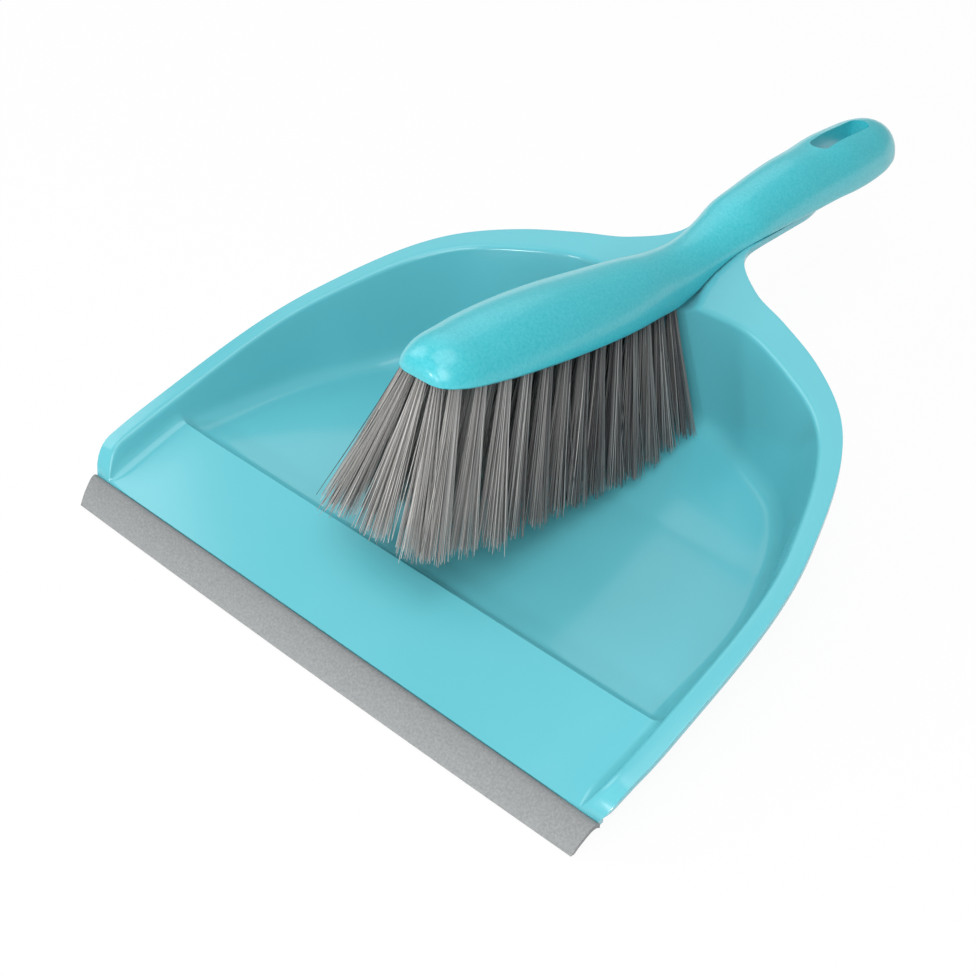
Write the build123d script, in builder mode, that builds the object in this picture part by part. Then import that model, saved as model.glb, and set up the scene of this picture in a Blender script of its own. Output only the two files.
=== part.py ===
# Dust pan and hand brush that stores on it.
# The pan is one moulding: a bowl with an open front, a broad rim and a flat handle.
# A rubber lip grips its front edge. The hollow brush handle rests on the pan's flat handle,
# its neck lies in a saddle behind the bowl, and its slot goes over a post.
# Millimetres. X runs along the lip, Y back to the handle, Z up. The origin is on the flat of the base.
import os
from math import atan, cos, pi, sin

from build123d import *

os.makedirs("parts", exist_ok=True)

# Pan: lengths along Y from the origin, and heights over the ground
lip_front_y = -140.0
lip_depth = 10.0
lip_height = 6.8
ramp_length = 33.0
ridge_height = 13.0
step_run = 3.0
step_drop = 3.7
flat_front_y = -20.0
wall = 2.2
floor_thickness = 2.4
wall_draft = 8.0
back_draft = 5.6
rim_height = 38.9
rim_slope = 0.19
rim_rise = 6.0
rim_front_radius = 9.0
flange_thickness = 2.2
neck_radius = 50.0
handle_bend = 5.0

# Pan: half widths of the rim and the places along Y where it has them
front_half = 108.4
front_flare = 0.6
widest_half = 111.0
widest_y = -98.0
side_half = 103.9
side_y = -30.5
shoulder_half = 80.2
shoulder_y = 20.0
corner_half = 62.0
corner_y = 34.2
back_half = 43.0
back_y = 44.0
flare_half = 27.0
flare_y = 51.2
neck_half = 12.8
neck_y = 66.0
side_flange = 6.0
shoulder_flange = 8.4
corner_flange = 10.4
back_flange = 12.0
mouth_back_y = 33.5

# Pan handle: a flat plate that narrows inside the brush handle, a saddle for the brush's neck, and a post
plate_taper_y = 109.0
plate_taper = 12.0
plate_end_half = 8.6
plate_end_y = 141.0
seat_slope = 0.075
saddle_half = 12.2
saddle_wall = 1.6
saddle_depth = 4.8
saddle_end_y = 80.0
saddle_mouth_half = 24.0
saddle_mouth_y = 28.0
rib_width = 2.4
rib_depth = 7.0
post_y = 135.0
post_width = 4.6
post_length = 9.0
post_height = 10.0

# Lip: rubber strip with a slot for the front edge of the pan
lip_half = 107.2
lip_front_half = 105.2
tongue_thickness = 1.6
tongue_depth = 4.5
tongue_half = 98.0
ramp_root = 6.0
lip_cover = 2.2
nose_back = 3.6
nose_rise = 4.0
flap_half = 99.5
flap_thickness = 1.6

# Brush: the block hangs from the handle with its underside on a plane that rises to the tip
rest_gap = 0.3
block_tip_y = -86.0
block_length = 116.0
block_slope = 0.235
block_height = 66.7
block_height_y = -55.8
block_half = 18.8
block_rear_half = 11.8
block_thickness = 16.0
section_edge = 0.14
section_side = 0.36
handle_half = 14.2
handle_thickness = 15.2
handle_end_y = 175.4
brush_neck_half = 10.2
brush_neck_thickness = 10.0
brush_neck_y = 53.0
neck_dip = 1.6
dip_start_y = 66.0
dip_end_y = 76.0
droop_y = 124.0
droop = 5.6
end_half = 15.0
end_thickness = 21.6
brush_wall = 2.6
slot_length = 35.0
slot_width = 8.0
slot_y = 143.5
slot_collar = 8.0

# Tufts: bundles of bristles, each folded over a flat wire anchor at the bottom of its hole
tuft_pairs = 13
tuft_margin = 4.8
tuft_front_inset = 8.0
tuft_rear_inset = 3.4
tuft_inner_half = 4.1
tuft_inner_share = 0.385
tip_tuft_inset = 3.7
tip_tuft_half = 5.2
tip_tuft_back = 0.8
hole_diameter = 4.0
hole_depth = 4.6
root_clearance = 0.1
anchor_thickness = 0.5
anchor_height = 1.4
anchor_clearance = 0.05
bristle_size = 0.75
bristle_ring = 1.25
bristles_around = 7
bristle_full_length = 51.0
tip_clearance = 3.6
bristle_unevenness = 1.6
tip_half = 24.5
tip_front_half = 20.5
tip_widening = 18.0
splay_along = 0.0047
splay_centre_y = -7.0

# Worked-out places
joint_y = lip_front_y + lip_depth
ridge_y = joint_y + ramp_length
step_y = ridge_y + step_run
rim_plane = Plane(origin=(0, 0, rim_height), x_dir=(1, 0, 0), z_dir=(0, -rim_slope, 1))
handle_bend_y = neck_y + handle_bend
round_end_y = plate_end_y - plate_end_half
reach = 2 * widest_half


def rim_z(y):
    """Height of the rim's top face, which is one tilted plane."""
    return rim_height + rim_slope * y


def seat_z(y):
    """Height of the top of the flat handle, where the brush handle rests."""
    return rim_z(handle_bend_y) - seat_slope * (y - handle_bend_y)


def inset(points, widths):
    """Points moved square to the line that they follow, towards the middle of the pan."""
    moved = []
    for index, (point, width) in enumerate(zip(points, widths)):
        before = Vector(*points[max(index - 1, 0)])
        after = Vector(*points[min(index + 1, len(points) - 1)])
        along = (after - before).normalized()
        moved.append((point[0] - width * along.Y, point[1] + width * along.X))
    return moved


def bowl_face(points, front_y, stretch=1.0):
    """Closed face of the bowl: a straight front, two curved sides and a round back."""
    placed = [(x, y / stretch) for x, y in points]
    front = (points[0][0], front_y / stretch)
    with BuildSketch() as face:
        with BuildLine():
            Line(front, placed[0])
            Spline(*placed, tangents=[(0, 1), (-1, 0)])
            mirror(about=Plane.YZ)
            Line(front, (-front[0], front[1]))
        make_face()
    return face.sketch


# The rim's outer line, and the bowl's outline at the rim and at the floor
rim_points = [
    (widest_half, widest_y),
    (side_half, side_y),
    (shoulder_half, shoulder_y),
    (corner_half, corner_y),
    (back_half, back_y),
]
flange_widths = [side_flange, side_flange, shoulder_flange, corner_flange, back_flange]
mouth_points = inset(rim_points, flange_widths)
floor_points = inset(mouth_points, [wall_draft] * len(mouth_points))
mouth_points.append((0, mouth_back_y))
floor_points.append((0, mouth_back_y - back_draft))


def grown(points, amount):
    """The same outline, moved out by a wall thickness."""
    outer = inset(points[:-1], [-amount] * (len(points) - 1))
    return outer + [(0, points[-1][1] + amount)]


def rim_profile(drop):
    """Side view of the rim and handle's top line, lowered by a distance."""
    return [
        (joint_y, lip_height - drop),
        (joint_y + rim_rise, rim_z(joint_y + rim_rise) - drop),
        (handle_bend_y, rim_z(handle_bend_y) - drop),
        (plate_end_y, seat_z(plate_end_y) - drop),
    ]


def side_band(top_drop, bottom_drop):
    """Face between two lowered copies of the rim's side view."""
    radii = [rim_front_radius, neck_radius]
    with BuildSketch() as face:
        with BuildLine():
            upper = FilletPolyline(*rim_profile(top_drop), radius=radii)
            lower = FilletPolyline(*rim_profile(bottom_drop), radius=radii)
            Line(upper @ 0, lower @ 0)
            Line(upper @ 1, lower @ 1)
        make_face()
    return face.sketch


def saddle_face(half, end_y, mouth_half, mouth_y):
    """Plan of the saddle: a flared mouth at the bowl, straight sides and a square end."""
    with BuildSketch() as face:
        with BuildLine():
            flare = Spline((mouth_half, mouth_y), (half, brush_neck_y), tangents=[(-1, 1), (0, 1)])
            Polyline(flare @ 1, (half, end_y), (0, end_y))
            mirror(about=Plane.YZ)
            Line((mouth_half, mouth_y), (-mouth_half, mouth_y))
        make_face()
    return face.sketch


# Construction bodies for the pan
with BuildPart() as bowl_skin:
    with BuildSketch(Plane.XY):
        add(bowl_face(grown(floor_points, wall), joint_y))
    with BuildSketch(rim_plane):
        add(bowl_face(grown(mouth_points, wall), joint_y, cos(atan(rim_slope))))
    loft()

with BuildPart() as bowl_space:
    with BuildSketch(Plane.XY):
        add(bowl_face(floor_points, lip_front_y))
    with BuildSketch(rim_plane):
        add(bowl_face(mouth_points, lip_front_y, cos(atan(rim_slope))))
    loft()
    with BuildSketch(rim_plane):
        add(bowl_face(mouth_points, lip_front_y, cos(atan(rim_slope))))
    extrude(amount=lip_depth)

with BuildPart() as rim_flange:
    with BuildSketch(Plane.XY):
        with BuildLine():
            start = Line((front_half, joint_y), (front_half + front_flare, joint_y + rim_rise))
            flare = (flare_half, flare_y)
            edge = Spline(start @ 1, *rim_points, flare, (neck_half, neck_y), tangents=[start % 1, (0, 1)])
            taper_end = (plate_end_half, plate_taper_y + plate_taper)
            plate = Polyline(edge @ 1, (neck_half, plate_taper_y), taper_end, (plate_end_half, round_end_y))
            RadiusArc(plate @ 1, (0, plate_end_y), -plate_end_half)
            mirror(about=Plane.YZ)
            Line((front_half, joint_y), (-front_half, joint_y))
        make_face()
    extrude(amount=reach)
    with BuildSketch(Plane.YZ):
        add(side_band(0, flange_thickness))
    extrude(amount=reach, both=True, mode=Mode.INTERSECT)

with BuildPart() as saddle:
    with BuildSketch(Plane.XY):
        add(saddle_face(saddle_half, saddle_end_y + saddle_wall, saddle_mouth_half, saddle_mouth_y))
    extrude(amount=reach)
    with BuildSketch(Plane.YZ):
        add(side_band(0, saddle_depth))
    extrude(amount=reach, both=True, mode=Mode.INTERSECT)

with BuildPart() as saddle_space:
    with BuildSketch(Plane.XY):
        inner_mouth = (saddle_mouth_half - saddle_wall, saddle_mouth_y - 2 * wall)
        add(saddle_face(saddle_half - saddle_wall, saddle_end_y, *inner_mouth))
    extrude(amount=reach)
    with BuildSketch(Plane.YZ):
        add(side_band(-saddle_depth, saddle_depth - saddle_wall))
    extrude(amount=reach, both=True, mode=Mode.INTERSECT)

with BuildPart() as handle_rib:
    with BuildSketch(Plane.YZ):
        add(side_band(flange_thickness, rib_depth))
    extrude(amount=rib_width / 2, both=True)
    with BuildSketch(Plane.XY):
        with Locations((0, (saddle_end_y + plate_taper_y) / 2)):
            Rectangle(rib_width, plate_taper_y - saddle_end_y)
    extrude(amount=reach, mode=Mode.INTERSECT)

floor_line = [
    (joint_y, lip_height),
    (ridge_y, ridge_height),
    (step_y, ridge_height - step_drop),
    (flat_front_y, floor_thickness),
    (neck_y, floor_thickness),
]
with BuildPart() as pan_floor:
    with BuildSketch(Plane.YZ):
        with BuildLine():
            lowered = [(y, z - floor_thickness) for y, z in floor_line]
            Polyline(*floor_line, *reversed(lowered), close=True)
        make_face()
    extrude(amount=reach, both=True)
    add(bowl_skin.part, mode=Mode.INTERSECT)

with BuildPart() as under_rim:
    with BuildSketch(Plane.YZ):
        with BuildLine():
            top = FilletPolyline(*rim_profile(0), radius=[rim_front_radius, neck_radius])
            Polyline(top @ 1, (plate_end_y, -wall), (joint_y, -wall), top @ 0)
        make_face()
    extrude(amount=reach, both=True)

# Dust pan
tongue_top = lip_height - lip_cover
with BuildPart() as dust_pan:
    add(bowl_skin.part)
    add(under_rim.part, mode=Mode.INTERSECT)
    add(saddle.part)
    add(rim_flange.part)
    add(handle_rib.part)
    add(bowl_space.part, mode=Mode.SUBTRACT)
    add(saddle_space.part, mode=Mode.SUBTRACT)
    add(pan_floor.part)
    with BuildSketch(Plane.YZ):
        with BuildLine():
            Polyline(
                (joint_y + ramp_root, tongue_top),
                (joint_y - tongue_depth, tongue_top),
                (joint_y - tongue_depth, tongue_top - tongue_thickness),
                (joint_y + ramp_root, tongue_top - tongue_thickness),
                close=True,
            )
        make_face()
    extrude(amount=tongue_half, both=True)
    with BuildSketch(Plane.XY.offset(seat_z(post_y) - flange_thickness / 2)):
        with Locations((0, post_y)):
            SlotOverall(post_length, post_width, rotation=90)
    extrude(amount=post_height)
dust_pan.part.label = "dust_pan"
export_step(dust_pan.part, "parts/dust_pan.step")

# Rubber lip
with BuildPart() as rubber_lip:
    with BuildSketch(Plane.YZ):
        with BuildLine():
            nose = ThreePointArc(
                (lip_front_y, 0),
                (lip_front_y + nose_back, nose_rise),
                (joint_y, lip_height),
            )
            Polyline(
                nose @ 1,
                (joint_y, tongue_top),
                (joint_y - tongue_depth, tongue_top),
                (joint_y - tongue_depth, tongue_top - tongue_thickness),
                (joint_y, tongue_top - tongue_thickness),
                (joint_y, 0),
                nose @ 0,
            )
        make_face()
    extrude(amount=lip_half, both=True)
    with BuildSketch(Plane.XY):
        with BuildLine():
            Polyline(
                (lip_half, joint_y),
                (lip_front_half, lip_front_y),
                (-lip_front_half, lip_front_y),
                (-lip_half, joint_y),
                close=True,
            )
        make_face()
    extrude(amount=reach, mode=Mode.INTERSECT)
    # Beyond the tongue each end is a thin flap, cut away from below
    for side in (1, -1):
        with BuildSketch(Plane.YZ.offset(side * flap_half)):
            with BuildLine():
                under = ThreePointArc(
                    (lip_front_y, -flap_thickness),
                    (lip_front_y + nose_back, nose_rise - flap_thickness),
                    (joint_y, lip_height - flap_thickness),
                )
                Polyline(under @ 1, (joint_y, -flap_thickness), under @ 0)
            make_face()
        extrude(amount=side * lip_half, mode=Mode.SUBTRACT)
rubber_lip.part.label = "rubber_lip"
export_step(rubber_lip.part, "parts/rubber_lip.step")


def block_z(y):
    """Height of the block's underside, the plane that the bristles grow from."""
    return block_height - block_slope * (y - block_height_y)


def handle_z(y):
    """Height of the brush handle's underside on its seat."""
    return seat_z(y) + rest_gap


# Brush sections from the tip to the end: place along Y, half width, underside and thickness
block_rear_y = block_tip_y + block_length
tip_y = block_tip_y
dip_z = handle_z(dip_start_y) - neck_dip
brush_sections = [
    (tip_y - 0.4, 0.20 * block_half, block_z(tip_y) + 0.8, 0.14 * block_thickness),
    (tip_y + 0.8, 0.40 * block_half, block_z(tip_y) + 0.2, 0.30 * block_thickness),
    (tip_y + 4.0, 0.60 * block_half, block_z(tip_y + 4.0), 0.48 * block_thickness),
    (tip_y + 9.0, 0.77 * block_half, block_z(tip_y + 9.0), 0.63 * block_thickness),
    (tip_y + 22.0, 0.93 * block_half, block_z(tip_y + 22.0), 0.80 * block_thickness),
    (tip_y + 42.0, block_half, block_z(tip_y + 42.0), 0.92 * block_thickness),
    (tip_y + 60.0, block_half, block_z(tip_y + 60.0), 0.97 * block_thickness),
    (tip_y + 85.0, 0.95 * block_half, block_z(tip_y + 85.0), block_thickness),
    (tip_y + 102.0, 0.80 * block_half, block_z(tip_y + 102.0), block_thickness),
    (block_rear_y, block_rear_half, block_z(block_rear_y), 0.97 * block_thickness),
    (block_rear_y + 10.0, 0.91 * block_rear_half, block_z(block_rear_y), 0.84 * block_thickness),
    (brush_neck_y, brush_neck_half, rim_z(brush_neck_y) - rest_gap, brush_neck_thickness),
    (dip_start_y, 0.96 * brush_neck_half, dip_z, 0.93 * brush_neck_thickness),
    (dip_end_y, 0.80 * handle_half, handle_z(dip_end_y), 0.70 * handle_thickness),
    (dip_end_y + 12.0, 0.89 * handle_half, handle_z(dip_end_y + 12.0), 0.84 * handle_thickness),
    (plate_taper_y, handle_half, handle_z(plate_taper_y), handle_thickness),
    (droop_y, 0.97 * end_half, handle_z(droop_y), 0.72 * end_thickness),
    (droop_y + 14.0, 0.99 * end_half, handle_z(droop_y) - 0.94 * droop, 0.96 * end_thickness),
    (droop_y + 26.0, end_half, handle_z(droop_y) - 1.35 * droop, end_thickness),
    (handle_end_y - 15.0, 0.97 * end_half, handle_z(droop_y) - 1.44 * droop, 0.96 * end_thickness),
    (handle_end_y - 7.0, 0.82 * end_half, handle_z(droop_y) - 1.34 * droop, 0.83 * end_thickness),
    (handle_end_y - 2.4, 0.57 * end_half, handle_z(droop_y) - 0.94 * droop, 0.60 * end_thickness),
    (handle_end_y, 0.27 * end_half, handle_z(droop_y) - 0.33 * droop, 0.30 * end_thickness),
]
hollow_sections = brush_sections[14:21]


def brush_section(y, half, bottom, thickness):
    """Domed section across the brush: a flat underside, slanted edges and an arched back."""
    edge = section_edge * half
    side = bottom + section_side * thickness
    with BuildSketch(Plane(origin=(0, y, 0), x_dir=(1, 0, 0), z_dir=(0, -1, 0))) as face:
        with BuildLine():
            ThreePointArc((half, side), (0, bottom + thickness), (-half, side))
            Polyline((-half, side), (edge - half, bottom), (half - edge, bottom), (half, side))
        make_face()
    return face.sketch


def block_half_at(y):
    """Half width of the brush where a tuft stands, between the sections on either side."""
    for (y0, half0, _, _), (y1, half1, _, _) in zip(brush_sections, brush_sections[1:]):
        if y0 <= y <= y1:
            return half0 + (half1 - half0) * (y - y0) / (y1 - y0)


# Tuft places: two outer rows along the edge, two inner rows between them, and three round the tip
tuft_places = []
first_y = tip_y + tuft_front_inset
last_y = block_rear_y - tuft_rear_inset
tuft_pitch = (last_y - first_y) / (tuft_pairs - 1)
for index in range(tuft_pairs):
    y = first_y + index * tuft_pitch
    for side in (-1, 1):
        tuft_places.append((side * (block_half_at(y) - tuft_margin), y))
for index in range(tuft_pairs - 1):
    y = first_y + (index + 0.5) * tuft_pitch
    across = min(tuft_inner_half, tuft_inner_share * (block_half_at(y) - tuft_margin))
    for side in (-1, 1):
        tuft_places.append((side * across, y))
tuft_places.append((0, tip_y + tip_tuft_inset))
for side in (-1, 1):
    tuft_places.append((side * tip_tuft_half, tip_y + tip_tuft_inset + tip_tuft_back))

# The plane of the block's underside: its z points up into the block, its y towards the handle
block_plane = Plane(
    origin=(0, block_height_y, block_height),
    x_dir=(1, 0, 0),
    z_dir=(0, block_slope, 1),
)
along_scale = (1 + block_slope**2) ** 0.5


def on_block(place):
    """A tuft's place in the coordinates of the block's underside."""
    return (place[0], (place[1] - block_height_y) * along_scale)


# The hollow of the brush handle, open below, less the collar that hangs down round the slot
with BuildPart() as handle_space:
    hollow = []
    for y, half, bottom, thickness in hollow_sections:
        hollow.append(brush_section(y, half - brush_wall, bottom - brush_wall, thickness))
    loft(hollow, ruled=True)
    with BuildSketch(Plane.XY.offset(handle_z(slot_y) + end_thickness - droop - slot_collar)):
        with Locations((0, slot_y)):
            SlotOverall(slot_length + 2 * brush_wall, slot_width + 2 * brush_wall, rotation=90)
    extrude(amount=end_thickness, mode=Mode.SUBTRACT)

# Brush body: block and handle in one moulding, with a hollow handle and blind holes for the tufts
with BuildPart() as brush_body:
    loft([brush_section(*section) for section in brush_sections], ruled=True)
    add(handle_space.part, mode=Mode.SUBTRACT)
    with BuildSketch(Plane.XY):
        with Locations((0, slot_y)):
            SlotOverall(slot_length, slot_width, rotation=90)
    extrude(amount=reach, mode=Mode.SUBTRACT)
    with BuildSketch(block_plane):
        with Locations(*[on_block(place) for place in tuft_places]):
            Circle(hole_diameter / 2)
    extrude(amount=hole_depth, mode=Mode.SUBTRACT)
brush_body.part.label = "brush_body"
export_step(brush_body.part, "parts/brush_body.step")

# Tuft anchors: a flat piece of wire at the bottom of each hole, under the fold of the tuft
root_diameter = hole_diameter - 2 * root_clearance
with BuildPart() as tuft_anchors:
    with BuildSketch(block_plane.offset(hole_depth - anchor_height)):
        with Locations(*[on_block(place) for place in tuft_places]):
            Rectangle(root_diameter - anchor_thickness, anchor_thickness)
    extrude(amount=anchor_height)
tuft_anchors.part.label = "tuft_anchors"
export_step(tuft_anchors.part, "parts/tuft_anchors.step")


def bristle_length(y):
    """Bristles are cut shorter towards the handle, where they would meet the floor of the pan."""
    return min(bristle_full_length, block_z(y) - tip_clearance)


def splay_across(y):
    """Lean per millimetre from the middle, so that the outer tips make an even side."""
    outer_half = block_half_at(y) - tuft_margin
    share = min(max((y - first_y) / tip_widening, 0), 1)
    spread_half = tip_front_half + share * (tip_half - tip_front_half)
    return (spread_half / outer_half - 1) / bristle_length(y)


# Tufts: a root with a slot for the anchor, and bristles that spread from it without crossing
bristle_places = [(0, 0)]
for turn in range(bristles_around):
    angle = 2 * pi * turn / bristles_around
    bristle_places.append((bristle_ring * cos(angle), bristle_ring * sin(angle)))
splay_centre = on_block((0, splay_centre_y))[1]
for number, place in enumerate(tuft_places):
    across, along = on_block(place)
    with BuildPart() as tuft:
        with BuildSketch(block_plane):
            with Locations((across, along)):
                Circle(root_diameter / 2)
        extrude(amount=hole_depth)
        with BuildSketch(block_plane.offset(hole_depth - anchor_height)):
            with Locations((across, along)):
                Rectangle(hole_diameter, anchor_thickness + 2 * anchor_clearance)
        extrude(amount=anchor_height, mode=Mode.SUBTRACT)
        bristles = []
        for turn, (dx, dy) in enumerate(bristle_places):
            foot = (across + dx, along + dy)
            length = bristle_length(place[1]) - bristle_unevenness * (turn * 5 % 8) / 8
            lean = (splay_across(place[1]) * foot[0], splay_along * (foot[1] - splay_centre))
            run = block_plane.from_local_coords(Vector(*lean, -1)) - block_plane.origin
            with BuildSketch(block_plane.offset(root_clearance), mode=Mode.PRIVATE) as cut:
                with Locations(foot):
                    Rectangle(bristle_size, bristle_size)
            bristles.append(extrude(cut.sketch, amount=length * run.length, dir=run, mode=Mode.PRIVATE))
        add(bristles)
    tuft.part.label = f"tuft_{number + 1:02d}"
    export_step(tuft.part, f"parts/{tuft.part.label}.step")
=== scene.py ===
# %% [markdown]
# A dust pan with a rubber lip, and a hand brush that is stored on its handle.
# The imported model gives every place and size, and this lesson dresses it in meshes and finishes.
# Lengths below are in millimetres, and become metres where a mesh is made.
# Only the camera, the lamps and the width of the floor are given in metres.

import math
import random

import bpy
import numpy as np
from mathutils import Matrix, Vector


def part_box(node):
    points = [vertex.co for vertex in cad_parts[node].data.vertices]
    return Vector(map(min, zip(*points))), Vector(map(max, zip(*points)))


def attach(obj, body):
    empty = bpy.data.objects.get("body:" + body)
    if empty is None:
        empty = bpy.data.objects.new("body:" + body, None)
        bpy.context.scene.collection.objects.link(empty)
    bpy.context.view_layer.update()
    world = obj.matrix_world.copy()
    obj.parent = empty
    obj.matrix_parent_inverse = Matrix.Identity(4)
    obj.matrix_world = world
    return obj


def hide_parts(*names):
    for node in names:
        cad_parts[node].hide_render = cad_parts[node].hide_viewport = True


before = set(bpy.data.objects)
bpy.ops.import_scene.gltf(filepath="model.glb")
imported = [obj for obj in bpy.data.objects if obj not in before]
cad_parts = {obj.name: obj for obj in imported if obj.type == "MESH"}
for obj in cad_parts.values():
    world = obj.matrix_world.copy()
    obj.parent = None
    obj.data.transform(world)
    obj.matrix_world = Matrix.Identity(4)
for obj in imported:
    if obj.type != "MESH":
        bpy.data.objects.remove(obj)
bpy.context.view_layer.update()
MM = 0.001

# %% [markdown]
# The camera comes first, because each later piece is judged through it.
# The lip, its joint and the crease of the floor are parallel, so where they meet in the picture gives
# the direction of view. The lens then follows from the pan standing level on the ground.

# %% Camera
camera_place = Vector((0.25125, -0.33469, 0.33221))
camera_turn = math.radians(41.86)
camera_tilt = math.radians(40.27)
flat_look = math.cos(camera_tilt)
look = Vector((
    -math.sin(camera_turn) * flat_look,
    math.cos(camera_turn) * flat_look,
    -math.sin(camera_tilt),
))

bpy.ops.object.camera_add(location=camera_place, rotation=look.to_track_quat("-Z", "Y").to_euler())
camera = bpy.context.object
camera.data.sensor_width = 36
camera.data.lens = 56.43
bpy.context.scene.camera = camera
print("camera", round(camera_place.length, 3), "m from the middle of the base")

# %% [markdown]
# A few small tools are used for every moulded piece.
# A grid primitive is like a sheet of dough: its rows of vertices can be laid along any rows of points.
# Curves through a few named points keep the shapes smooth without long lists of numbers.

# %% Modelling tools
merge_distance = 0.02
sliver_length = 0.005


def clear_selection():
    bpy.ops.object.select_all(action="DESELECT")


def pick(piece):
    clear_selection()
    piece.select_set(True)
    bpy.context.view_layer.objects.active = piece


def loft_sheet(name, rows):
    """A grid primitive whose vertices lie along rows of points."""
    clear_selection()
    bpy.ops.mesh.primitive_grid_add(x_subdivisions=len(rows[0]) - 1, y_subdivisions=len(rows) - 1)
    sheet = bpy.context.object
    sheet.name = name
    sheet.data.name = name
    flat = [MM * float(value) for row in rows for point in row for value in point]
    sheet.data.vertices.foreach_set("co", flat)
    sheet.data.update()
    return sheet


def weld(piece):
    """Merges doubled vertices, drops slivers and turns the faces one way, outwards on a closed shell."""
    pick(piece)
    bpy.ops.object.mode_set(mode="EDIT")
    bpy.ops.mesh.select_all(action="SELECT")
    bpy.ops.mesh.remove_doubles(threshold=merge_distance * MM)
    bpy.ops.mesh.dissolve_degenerate(threshold=sliver_length * MM)
    bpy.ops.mesh.normals_make_consistent(inside=False)
    bpy.ops.object.mode_set(mode="OBJECT")


def join_pieces(name, parts):
    clear_selection()
    for part in parts:
        part.select_set(True)
    bpy.context.view_layer.objects.active = parts[0]
    bpy.ops.object.join()
    joined = bpy.context.object
    joined.name = name
    joined.data.name = name
    return joined


def modify(piece, kind, **settings):
    """Adds a modifier, sets it up and applies it."""
    pick(piece)
    modifier = piece.modifiers.new(kind.lower(), kind)
    for key, value in settings.items():
        setattr(modifier, key, value)
    bpy.ops.object.modifier_apply(modifier=modifier.name)


def smooth_shade(piece, degrees):
    pick(piece)
    bpy.ops.object.shade_smooth_by_angle(angle=math.radians(degrees))


def count_faces(piece):
    return f"{piece.name}: {len(piece.data.polygons)} faces"


# %% Curve tools
fine_steps = 40
arc_steps = 6
arc_share = 0.46
tiny = 1e-6


def smooth_line(points, count):
    """Evenly spaced points on a smooth curve through a few given ones."""
    points = np.array(points, float)
    steps = np.linalg.norm(np.diff(points, axis=0), axis=1)
    place = np.concatenate([[0], np.cumsum(steps)])
    slopes = np.gradient(points, place, axis=0)
    fine = np.linspace(0, place[-1], fine_steps * len(points))
    span = np.clip(np.searchsorted(place, fine, side="right") - 1, 0, len(points) - 2)
    width = (place[span + 1] - place[span])[:, None]
    t = ((fine - place[span]) / width[:, 0])[:, None]
    start, end = points[span], points[span + 1]
    curve = (2 * t**3 - 3 * t**2 + 1) * start + (3 * t**2 - 2 * t**3) * end
    curve += (t**3 - 2 * t**2 + t) * width * slopes[span] + (t**3 - t**2) * width * slopes[span + 1]
    return even_line(curve, count)


def even_line(curve, count):
    """The same line with its points spread evenly."""
    curve = np.array(curve, float)
    run = np.concatenate([[0], np.cumsum(np.linalg.norm(np.diff(curve, axis=0), axis=1))])
    spread = np.linspace(0, run[-1], count)
    return np.stack([np.interp(spread, run, axis) for axis in curve.T], axis=1)


def rounded(points, radii):
    """A chain of straight runs with a soft curve at each inner corner."""
    points = [Vector(p) for p in points]
    line = [points[0]]
    for before, corner, after, radius in zip(points, points[1:], points[2:], radii):
        back, ahead = before - corner, after - corner
        reach = arc_share * min(back.length, ahead.length)
        if reach < tiny:
            line += [corner] * (arc_steps + 1)
            continue
        angle = back.angle(ahead)
        reach = min(reach, radius / math.tan(angle / 2))
        start, end = corner + back.normalized() * reach, corner + ahead.normalized() * reach
        for step in range(arc_steps + 1):
            t = step / arc_steps
            line.append(start * (1 - t) ** 2 + corner * 2 * t * (1 - t) + end * t**2)
    return line + [points[-1]]


def fade(value, low, high):
    """Rises smoothly from 0 at low to 1 at high."""
    t = min(max((value - low) / (high - low), 0.0), 1.0)
    return t * t * (3 - 2 * t)


print("tools ready")

# %% [markdown]
# The pan is one injection moulding. Its floor climbs to the lip, its walls lean out, and a broad flat
# rim runs round them into the neck and the flat handle.
# It could be cut from a block with booleans, but glossy plastic shows every uneven facet.
# So half of its upper skin is laid in four sheets that share their edges: rim, wall, floor and handle.
# The skin is then mirrored, given its wall thickness and rounded at its edges.

# %% Pan outlines
lip_low, lip_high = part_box("rubber_lip")
lip_front_y = lip_low.y / MM
joint_y = lip_high.y / MM
lip_height = lip_high.z / MM
pan_wall = 2.2
rim_height = 38.9
rim_slope = 0.19
seat_slope = 0.075
neck_half = 12.8
neck_y = 66.0
bend_y = neck_y + 5.0
bend_reach = 6.6
plate_end_half = 8.6
plate_end_y = 141.0
mouth_back_y = 33.5
flare = (27.0, 51.2)
rim_points = [(110.3, -98.0), (103.9, -30.5), (80.2, 20.0), (62.0, 34.2), (43.0, 44.0)]
flange_widths = [6.0, 6.0, 8.4, 10.4, 12.0]
path_points = 2401


def rim_plane(y):
    return rim_height + rim_slope * y


def plate_top(y):
    """Top of rim and handle: two straight slopes with a soft bend between them."""
    turn = min(max(y - bend_y + bend_reach, 0.0), 2 * bend_reach)
    beyond = max(y - bend_y - bend_reach, 0.0)
    change = rim_slope + seat_slope
    return rim_plane(y) - change * turn**2 / (4 * bend_reach) - change * beyond


def seat_z(y):
    return rim_plane(bend_y) - seat_slope * (y - bend_y)


def inset(points, widths):
    """Points moved square to their line, towards the middle of the pan."""
    points = np.array(points, float)
    along = np.gradient(points, axis=0)
    along /= np.linalg.norm(along, axis=1)[:, None]
    inward = np.stack([-along[:, 1], along[:, 0]], axis=1)
    return points + inward * np.array(widths, float)[:, None]


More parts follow.
